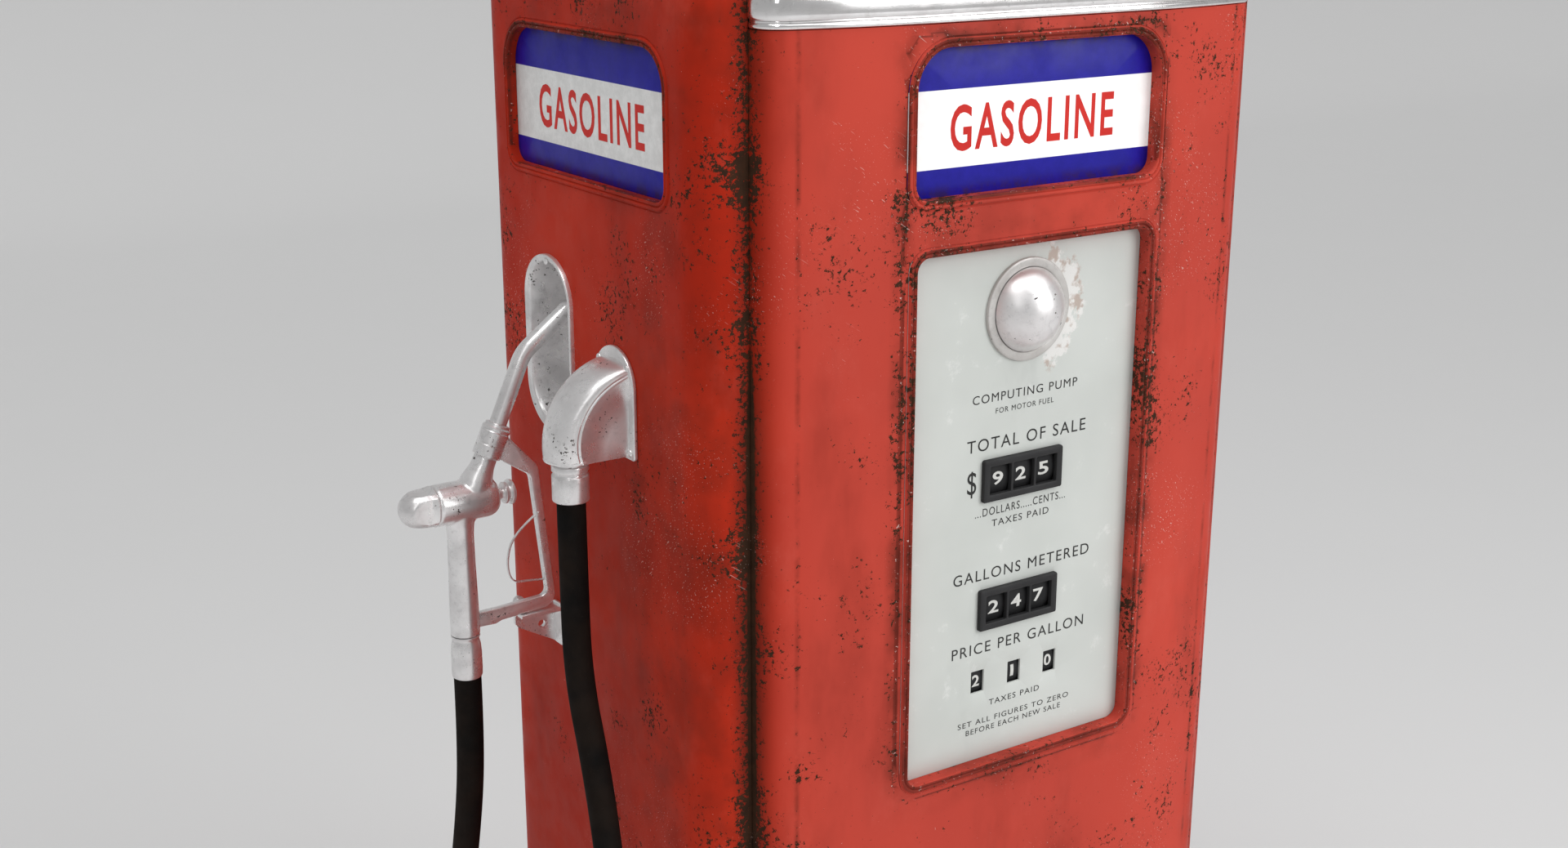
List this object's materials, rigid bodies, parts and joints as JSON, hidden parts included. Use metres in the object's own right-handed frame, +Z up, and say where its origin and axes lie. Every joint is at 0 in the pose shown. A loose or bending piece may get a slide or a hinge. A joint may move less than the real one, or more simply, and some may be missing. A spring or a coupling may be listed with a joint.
{
  "type": "gas pump",
  "caption": "Two-sided vintage computing fuel pump: rounded steel cabinet with lift-off doors, dial with number wheels, lit sign glasses, and a nozzle on a hanging hose.",
  "frame": {"origin": "on the ground, under the middle of the cabinet, at the centre of the base's flat underside", "axes": "+Z up; the front dial looks along -Y; the hose and nozzle hang on the -X side"},
  "size_m": [0.7695, 0.492, 1.45],
  "materials": {
    "red_enamel": "weathered gloss enamel with rust specks",
    "base_iron": "dark painted casting",
    "frame_steel": "primer grey",
    "bright_trim": "polished",
    "cast_aluminium": "satin cast, pitted",
    "polished_metal": "polished, worn",
    "sign_glass": "back-painted glass in three bands",
    "lamp_glass": "opal",
    "dial_enamel": "worn light grey enamel",
    "counter_black": "satin black",
    "wheel_black": "matte black with white figures",
    "steel": "machined",
    "machine_iron": "painted casting",
    "belt_rubber": "matte",
    "hose_rubber": "matte, dusty at the couplings"
  },
  "bodies": {
    "root": {"base_plinth": "base_iron", "frame_members": "frame_steel", "left_side_panel": "red_enamel", "right_side_panel": "red_enamel", "crown_cap": "red_enamel", "crown_trims": "bright_trim", "globe_collar": "cast_aluminium", "ad_glasses": "sign_glass", "ad_lamps": "lamp_glass", "dial_plates": "dial_enamel", "sight_domes": "polished_metal", "counter_bezels": "counter_black", "computer_frame": "frame_steel", "flow_meter": "cast_aluminium", "pump_unit": "machine_iron", "motor": "machine_iron", "drive_belt": "belt_rubber", "supply_pipes": "steel", "nozzle_boot": "cast_aluminium", "flange_screws": "steel", "outlet_elbow": "cast_aluminium", "hose_coupling": "cast_aluminium", "hose": "hose_rubber", "hook_bracket": "cast_aluminium", "side_plates": "cast_aluminium"},
    "front_door": {"front_door": "red_enamel"},
    "rear_door": {"rear_door": "red_enamel"},
    "front_lower_panel": {"front_lower_panel": "red_enamel"},
    "rear_lower_panel": {"rear_lower_panel": "red_enamel"},
    "nozzle": {"nozzle_body": "cast_aluminium", "nozzle_cap": "cast_aluminium", "spout_collar": "cast_aluminium", "nozzle_spout": "cast_aluminium", "nozzle_guard": "cast_aluminium", "hose_ferrule": "cast_aluminium"},
    "trigger": {"trigger": "steel"},
    "valve_stem": {"valve_stem": "steel"},
    "meter_shaft": {"meter_shaft": "steel"},
    "motor_pulley": {"motor_pulley": "steel"},
    "pump_pulley": {"pump_pulley": "steel"},
    "reset_crank": {"reset_crank": "cast_aluminium"},
    "switch_lever": {"switch_lever": "cast_aluminium"},
    "front_sale_dollars_wheel": {"front_sale_dollars_wheel": "wheel_black"},
    "front_sale_dimes_wheel": {"front_sale_dimes_wheel": "wheel_black"},
    "front_sale_cents_wheel": {"front_sale_cents_wheel": "wheel_black"},
    "front_gallons_tens_wheel": {"front_gallons_tens_wheel": "wheel_black"},
    "front_gallons_units_wheel": {"front_gallons_units_wheel": "wheel_black"},
    "front_gallons_tenths_wheel": {"front_gallons_tenths_wheel": "wheel_black"},
    "front_price_tens_wheel": {"front_price_tens_wheel": "wheel_black"},
    "front_price_units_wheel": {"front_price_units_wheel": "wheel_black"},
    "front_price_tenths_wheel": {"front_price_tenths_wheel": "wheel_black"},
    "rear_sale_dollars_wheel": {"rear_sale_dollars_wheel": "wheel_black"},
    "rear_sale_dimes_wheel": {"rear_sale_dimes_wheel": "wheel_black"},
    "rear_sale_cents_wheel": {"rear_sale_cents_wheel": "wheel_black"},
    "rear_gallons_tens_wheel": {"rear_gallons_tens_wheel": "wheel_black"},
    "rear_gallons_units_wheel": {"rear_gallons_units_wheel": "wheel_black"},
    "rear_gallons_tenths_wheel": {"rear_gallons_tenths_wheel": "wheel_black"},
    "rear_price_tens_wheel": {"rear_price_tens_wheel": "wheel_black"},
    "rear_price_units_wheel": {"rear_price_units_wheel": "wheel_black"},
    "rear_price_tenths_wheel": {"rear_price_tenths_wheel": "wheel_black"}
  },
  "joints": [
    {"name": "front_door_lift", "type": "slide", "parent": "root", "child": "front_door", "axis": [0, -1, 0], "range_m": [0, 0.3]},
    {"name": "rear_door_lift", "type": "slide", "parent": "root", "child": "rear_door", "axis": [0, 1, 0], "range_m": [0, 0.3]},
    {"name": "front_panel_lift", "type": "slide", "parent": "root", "child": "front_lower_panel", "axis": [0, -1, 0], "range_m": [0, 0.3]},
    {"name": "rear_panel_lift", "type": "slide", "parent": "root", "child": "rear_lower_panel", "axis": [0, 1, 0], "range_m": [0, 0.3]},
    {"name": "nozzle_lift", "type": "slide", "parent": "root", "child": "nozzle", "axis": [-0.9397, 0, 0.342], "range_m": [0, 0.25], "deforming": ["hose"]},
    {"name": "trigger_squeeze", "type": "hinge", "parent": "nozzle", "child": "trigger", "pos_m": [-0.3069, 0.0656, 0.908], "axis": [0, 1, 0], "range_deg": [0, 22], "stiffness_Nm_per_rad": 0.2, "springref_deg": -8.59},
    {"name": "valve_stem_slide", "type": "slide", "parent": "nozzle", "child": "valve_stem", "axis": [-1, 0, 0], "range_m": [0, 0.006]},
    {"name": "meter_spin", "type": "hinge", "parent": "root", "child": "meter_shaft", "pos_m": [0, 0, 0.7], "axis": [0, 0, 1], "continuous": true},
    {"name": "front_sale_dollars_turn", "type": "hinge", "parent": "root", "child": "front_sale_dollars_wheel", "pos_m": [-0.0247, -0.1847, 0.967], "axis": [1, 0, 0], "continuous": true},
    {"name": "rear_sale_dollars_turn", "type": "hinge", "parent": "root", "child": "rear_sale_dollars_wheel", "pos_m": [0.0247, 0.1847, 0.967], "axis": [-1, 0, 0], "continuous": true},
    {"name": "front_sale_dimes_turn", "type": "hinge", "parent": "root", "child": "front_sale_dimes_wheel", "pos_m": [0, -0.1847, 0.967], "axis": [1, 0, 0], "continuous": true},
    {"name": "rear_sale_dimes_turn", "type": "hinge", "parent": "root", "child": "rear_sale_dimes_wheel", "pos_m": [0, 0.1847, 0.967], "axis": [-1, 0, 0], "continuous": true},
    {"name": "front_sale_cents_turn", "type": "hinge", "parent": "root", "child": "front_sale_cents_wheel", "pos_m": [0.0247, -0.1847, 0.967], "axis": [1, 0, 0], "continuous": true},
    {"name": "rear_sale_cents_turn", "type": "hinge", "parent": "root", "child": "rear_sale_cents_wheel", "pos_m": [-0.0247, 0.1847, 0.967], "axis": [-1, 0, 0], "continuous": true},
    {"name": "front_gallons_tens_turn", "type": "hinge", "parent": "root", "child": "front_gallons_tens_wheel", "pos_m": [-0.0247, -0.1847, 0.853], "axis": [1, 0, 0], "continuous": true},
    {"name": "rear_gallons_tens_turn", "type": "hinge", "parent": "root", "child": "rear_gallons_tens_wheel", "pos_m": [0.0247, 0.1847, 0.853], "axis": [-1, 0, 0], "continuous": true},
    {"name": "front_gallons_units_turn", "type": "hinge", "parent": "root", "child": "front_gallons_units_wheel", "pos_m": [0, -0.1847, 0.853], "axis": [1, 0, 0], "continuous": true},
    {"name": "rear_gallons_units_turn", "type": "hinge", "parent": "root", "child": "rear_gallons_units_wheel", "pos_m": [0, 0.1847, 0.853], "axis": [-1, 0, 0], "continuous": true},
    {"name": "front_gallons_tenths_turn", "type": "hinge", "parent": "root", "child": "front_gallons_tenths_wheel", "pos_m": [0.0247, -0.1847, 0.853], "axis": [1, 0, 0], "continuous": true},
    {"name": "rear_gallons_tenths_turn", "type": "hinge", "parent": "root", "child": "rear_gallons_tenths_wheel", "pos_m": [-0.0247, 0.1847, 0.853], "axis": [-1, 0, 0], "continuous": true},
    {"name": "front_price_tens_turn", "type": "hinge", "parent": "root", "child": "front_price_tens_wheel", "pos_m": [-0.04, -0.1887, 0.788], "axis": [1, 0, 0], "continuous": true},
    {"name": "rear_price_tens_turn", "type": "hinge", "parent": "root", "child": "rear_price_tens_wheel", "pos_m": [0.04, 0.1887, 0.788], "axis": [-1, 0, 0], "continuous": true},
    {"name": "front_price_units_turn", "type": "hinge", "parent": "root", "child": "front_price_units_wheel", "pos_m": [0, -0.1887, 0.788], "axis": [1, 0, 0], "continuous": true},
    {"name": "rear_price_units_turn", "type": "hinge", "parent": "root", "child": "rear_price_units_wheel", "pos_m": [0, 0.1887, 0.788], "axis": [-1, 0, 0], "continuous": true},
    {"name": "front_price_tenths_turn", "type": "hinge", "parent": "root", "child": "front_price_tenths_wheel", "pos_m": [0.04, -0.1887, 0.788], "axis": [1, 0, 0], "continuous": true},
    {"name": "rear_price_tenths_turn", "type": "hinge", "parent": "root", "child": "rear_price_tenths_wheel", "pos_m": [-0.04, 0.1887, 0.788], "axis": [-1, 0, 0], "continuous": true},
    {"name": "motor_spin", "type": "hinge", "parent": "root", "child": "motor_pulley", "pos_m": [-0.032, 0.075, 0.19], "axis": [1, 0, 0], "continuous": true},
    {"name": "pump_spin", "type": "hinge", "parent": "root", "child": "pump_pulley", "pos_m": [-0.032, -0.085, 0.19], "axis": [1, 0, 0], "continuous": true},
    {"name": "reset_crank_turn", "type": "hinge", "parent": "root", "child": "reset_crank", "pos_m": [0.29, -0.04, 0.93], "axis": [1, 0, 0], "continuous": true},
    {"name": "switch_lever_throw", "type": "hinge", "parent": "root", "child": "switch_lever", "pos_m": [0.29, 0.06, 1.01], "axis": [1, 0, 0], "range_deg": [0, 90]}
  ],
  "couplings": [
    {"joint": "front_sale_dollars_turn", "follows": "meter_spin", "ratio": 0.00525},
    {"joint": "rear_sale_dollars_turn", "follows": "meter_spin", "ratio": 0.00525},
    {"joint": "front_sale_dimes_turn", "follows": "meter_spin", "ratio": 0.0525},
    {"joint": "rear_sale_dimes_turn", "follows": "meter_spin", "ratio": 0.0525},
    {"joint": "front_sale_cents_turn", "follows": "meter_spin", "ratio": 0.525},
    {"joint": "rear_sale_cents_turn", "follows": "meter_spin", "ratio": 0.525},
    {"joint": "front_gallons_tens_turn", "follows": "meter_spin", "ratio": 0.0025},
    {"joint": "rear_gallons_tens_turn", "follows": "meter_spin", "ratio": 0.0025},
    {"joint": "front_gallons_units_turn", "follows": "meter_spin", "ratio": 0.025},
    {"joint": "rear_gallons_units_turn", "follows": "meter_spin", "ratio": 0.025},
    {"joint": "front_gallons_tenths_turn", "follows": "meter_spin", "ratio": 0.25},
    {"joint": "rear_gallons_tenths_turn", "follows": "meter_spin", "ratio": 0.25},
    {"joint": "pump_spin", "follows": "motor_spin", "ratio": 0.4},
    {"joint": "valve_stem_slide", "follows": "trigger_squeeze", "m_per_rad": 0.015626}
  ]
}
